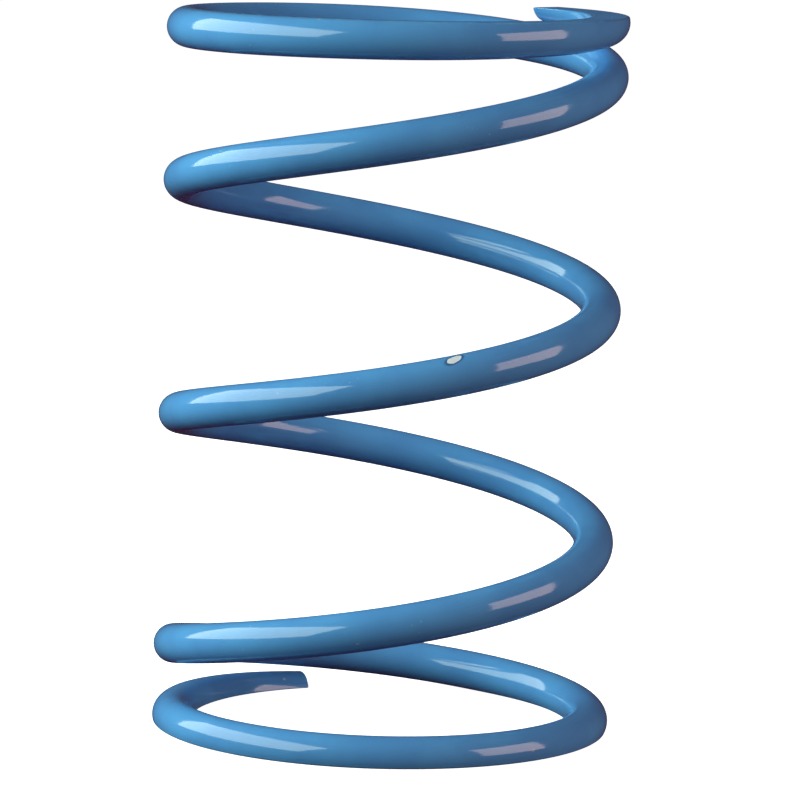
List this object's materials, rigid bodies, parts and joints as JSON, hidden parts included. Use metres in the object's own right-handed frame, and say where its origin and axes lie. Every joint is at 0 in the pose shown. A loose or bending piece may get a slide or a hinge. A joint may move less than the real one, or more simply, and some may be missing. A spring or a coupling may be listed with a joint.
{
  "type": "coil spring",
  "caption": "Right-hand helical compression spring for a suspension, round wire in a gloss blue powder coat, with closed and ground ends.",
  "frame": {"origin": "centre of the coil at the lower ground face", "axes": "+Z along the coil's axis to the upper ground face; the bottom tip lies at 113 degrees from +X towards +Y"},
  "size_m": [0.127, 0.127, 0.199],
  "materials": {
    "blue_coat": "gloss powder coat, blue"
  },
  "bodies": {
    "bottom_end": {"bottom_tip": "blue_coat", "bottom_end_1": "blue_coat", "bottom_end_2": "blue_coat", "bottom_end_3": "blue_coat", "bottom_end_4": "blue_coat", "bottom_end_5": "blue_coat", "bottom_end_6": "blue_coat", "bottom_end_7": "blue_coat"},
    "active_coil_1": {"active_coil_1": "blue_coat"},
    "active_coil_2": {"active_coil_2": "blue_coat"},
    "active_coil_3": {"active_coil_3": "blue_coat"},
    "active_coil_4": {"active_coil_4": "blue_coat"},
    "active_coil_5": {"active_coil_5": "blue_coat"},
    "active_coil_6": {"active_coil_6": "blue_coat"},
    "active_coil_7": {"active_coil_7": "blue_coat"},
    "active_coil_8": {"active_coil_8": "blue_coat"},
    "active_coil_9": {"active_coil_9": "blue_coat"},
    "active_coil_10": {"active_coil_10": "blue_coat"},
    "active_coil_11": {"active_coil_11": "blue_coat"},
    "active_coil_12": {"active_coil_12": "blue_coat"},
    "active_coil_13": {"active_coil_13": "blue_coat"},
    "active_coil_14": {"active_coil_14": "blue_coat"},
    "active_coil_15": {"active_coil_15": "blue_coat"},
    "active_coil_16": {"active_coil_16": "blue_coat"},
    "active_coil_17": {"active_coil_17": "blue_coat"},
    "active_coil_18": {"active_coil_18": "blue_coat"},
    "active_coil_19": {"active_coil_19": "blue_coat"},
    "active_coil_20": {"active_coil_20": "blue_coat"},
    "active_coil_21": {"active_coil_21": "blue_coat"},
    "active_coil_22": {"active_coil_22": "blue_coat"},
    "active_coil_23": {"active_coil_23": "blue_coat"},
    "top_end": {"top_end_1": "blue_coat", "top_end_2": "blue_coat", "top_end_3": "blue_coat", "top_end_4": "blue_coat", "top_end_5": "blue_coat", "top_end_6": "blue_coat", "top_end_7": "blue_coat", "top_tip": "blue_coat"}
  },
  "joints": [
    {"name": "compress", "type": "slide", "parent": "bottom_end", "child": "top_end", "axis": [0, 0, -1], "range_m": [0, 0.11], "stiffness_N_per_m": 33100},
    {"name": "coil_1_travel", "type": "slide", "parent": "bottom_end", "child": "active_coil_1", "axis": [0, 0, -1], "range_m": [0, 0.00043]},
    {"name": "coil_2_travel", "type": "slide", "parent": "bottom_end", "child": "active_coil_2", "axis": [0, 0, -1], "range_m": [0, 0.00333]},
    {"name": "coil_3_travel", "type": "slide", "parent": "bottom_end", "child": "active_coil_3", "axis": [0, 0, -1], "range_m": [0, 0.00843]},
    {"name": "coil_4_travel", "type": "slide", "parent": "bottom_end", "child": "active_coil_4", "axis": [0, 0, -1], "range_m": [0, 0.01373]},
    {"name": "coil_5_travel", "type": "slide", "parent": "bottom_end", "child": "active_coil_5", "axis": [0, 0, -1], "range_m": [0, 0.01903]},
    {"name": "coil_6_travel", "type": "slide", "parent": "bottom_end", "child": "active_coil_6", "axis": [0, 0, -1], "range_m": [0, 0.02433]},
    {"name": "coil_7_travel", "type": "slide", "parent": "bottom_end", "child": "active_coil_7", "axis": [0, 0, -1], "range_m": [0, 0.02963]},
    {"name": "coil_8_travel", "type": "slide", "parent": "bottom_end", "child": "active_coil_8", "axis": [0, 0, -1], "range_m": [0, 0.03493]},
    {"name": "coil_9_travel", "type": "slide", "parent": "bottom_end", "child": "active_coil_9", "axis": [0, 0, -1], "range_m": [0, 0.04022]},
    {"name": "coil_10_travel", "type": "slide", "parent": "bottom_end", "child": "active_coil_10", "axis": [0, 0, -1], "range_m": [0, 0.04553]},
    {"name": "coil_11_travel", "type": "slide", "parent": "bottom_end", "child": "active_coil_11", "axis": [0, 0, -1], "range_m": [0, 0.05083]},
    {"name": "coil_12_travel", "type": "slide", "parent": "bottom_end", "child": "active_coil_12", "axis": [0, 0, -1], "range_m": [0, 0.05613]},
    {"name": "coil_13_travel", "type": "slide", "parent": "bottom_end", "child": "active_coil_13", "axis": [0, 0, -1], "range_m": [0, 0.06142]},
    {"name": "coil_14_travel", "type": "slide", "parent": "bottom_end", "child": "active_coil_14", "axis": [0, 0, -1], "range_m": [0, 0.06672]},
    {"name": "coil_15_travel", "type": "slide", "parent": "bottom_end", "child": "active_coil_15", "axis": [0, 0, -1], "range_m": [0, 0.07202]},
    {"name": "coil_16_travel", "type": "slide", "parent": "bottom_end", "child": "active_coil_16", "axis": [0, 0, -1], "range_m": [0, 0.07732]},
    {"name": "coil_17_travel", "type": "slide", "parent": "bottom_end", "child": "active_coil_17", "axis": [0, 0, -1], "range_m": [0, 0.08262]},
    {"name": "coil_18_travel", "type": "slide", "parent": "bottom_end", "child": "active_coil_18", "axis": [0, 0, -1], "range_m": [0, 0.08792]},
    {"name": "coil_19_travel", "type": "slide", "parent": "bottom_end", "child": "active_coil_19", "axis": [0, 0, -1], "range_m": [0, 0.09322]},
    {"name": "coil_20_travel", "type": "slide", "parent": "bottom_end", "child": "active_coil_20", "axis": [0, 0, -1], "range_m": [0, 0.09852]},
    {"name": "coil_21_travel", "type": "slide", "parent": "bottom_end", "child": "active_coil_21", "axis": [0, 0, -1], "range_m": [0, 0.10382]},
    {"name": "coil_22_travel", "type": "slide", "parent": "bottom_end", "child": "active_coil_22", "axis": [0, 0, -1], "range_m": [0, 0.10833]},
    {"name": "coil_23_travel", "type": "slide", "parent": "bottom_end", "child": "active_coil_23", "axis": [0, 0, -1], "range_m": [0, 0.11]}
  ],
  "couplings": [
    {"joint": "coil_1_travel", "follows": "compress", "ratio": 0.00345},
    {"joint": "coil_2_travel", "follows": "compress", "ratio": 0.02981},
    {"joint": "coil_3_travel", "follows": "compress", "ratio": 0.07617},
    {"joint": "coil_4_travel", "follows": "compress", "ratio": 0.12435},
    {"joint": "coil_5_travel", "follows": "compress", "ratio": 0.17253},
    {"joint": "coil_6_travel", "follows": "compress", "ratio": 0.2207},
    {"joint": "coil_7_travel", "follows": "compress", "ratio": 0.26888},
    {"joint": "coil_8_travel", "follows": "compress", "ratio": 0.31706},
    {"joint": "coil_9_travel", "follows": "compress", "ratio": 0.36523},
    {"joint": "coil_10_travel", "follows": "compress", "ratio": 0.41341},
    {"joint": "coil_11_travel", "follows": "compress", "ratio": 0.46159},
    {"joint": "coil_12_travel", "follows": "compress", "ratio": 0.50977},
    {"joint": "coil_13_travel", "follows": "compress", "ratio": 0.55794},
    {"joint": "coil_14_travel", "follows": "compress", "ratio": 0.60612},
    {"joint": "coil_15_travel", "follows": "compress", "ratio": 0.6543},
    {"joint": "coil_16_travel", "follows": "compress", "ratio": 0.70247},
    {"joint": "coil_17_travel", "follows": "compress", "ratio": 0.75065},
    {"joint": "coil_18_travel", "follows": "compress", "ratio": 0.79883},
    {"joint": "coil_19_travel", "follows": "compress", "ratio": 0.84701},
    {"joint": "coil_20_travel", "follows": "compress", "ratio": 0.89518},
    {"joint": "coil_21_travel", "follows": "compress", "ratio": 0.94336},
    {"joint": "coil_22_travel", "follows": "compress", "ratio": 0.98433},
    {"joint": "coil_23_travel", "follows": "compress", "ratio": 0.99955}
  ]
}
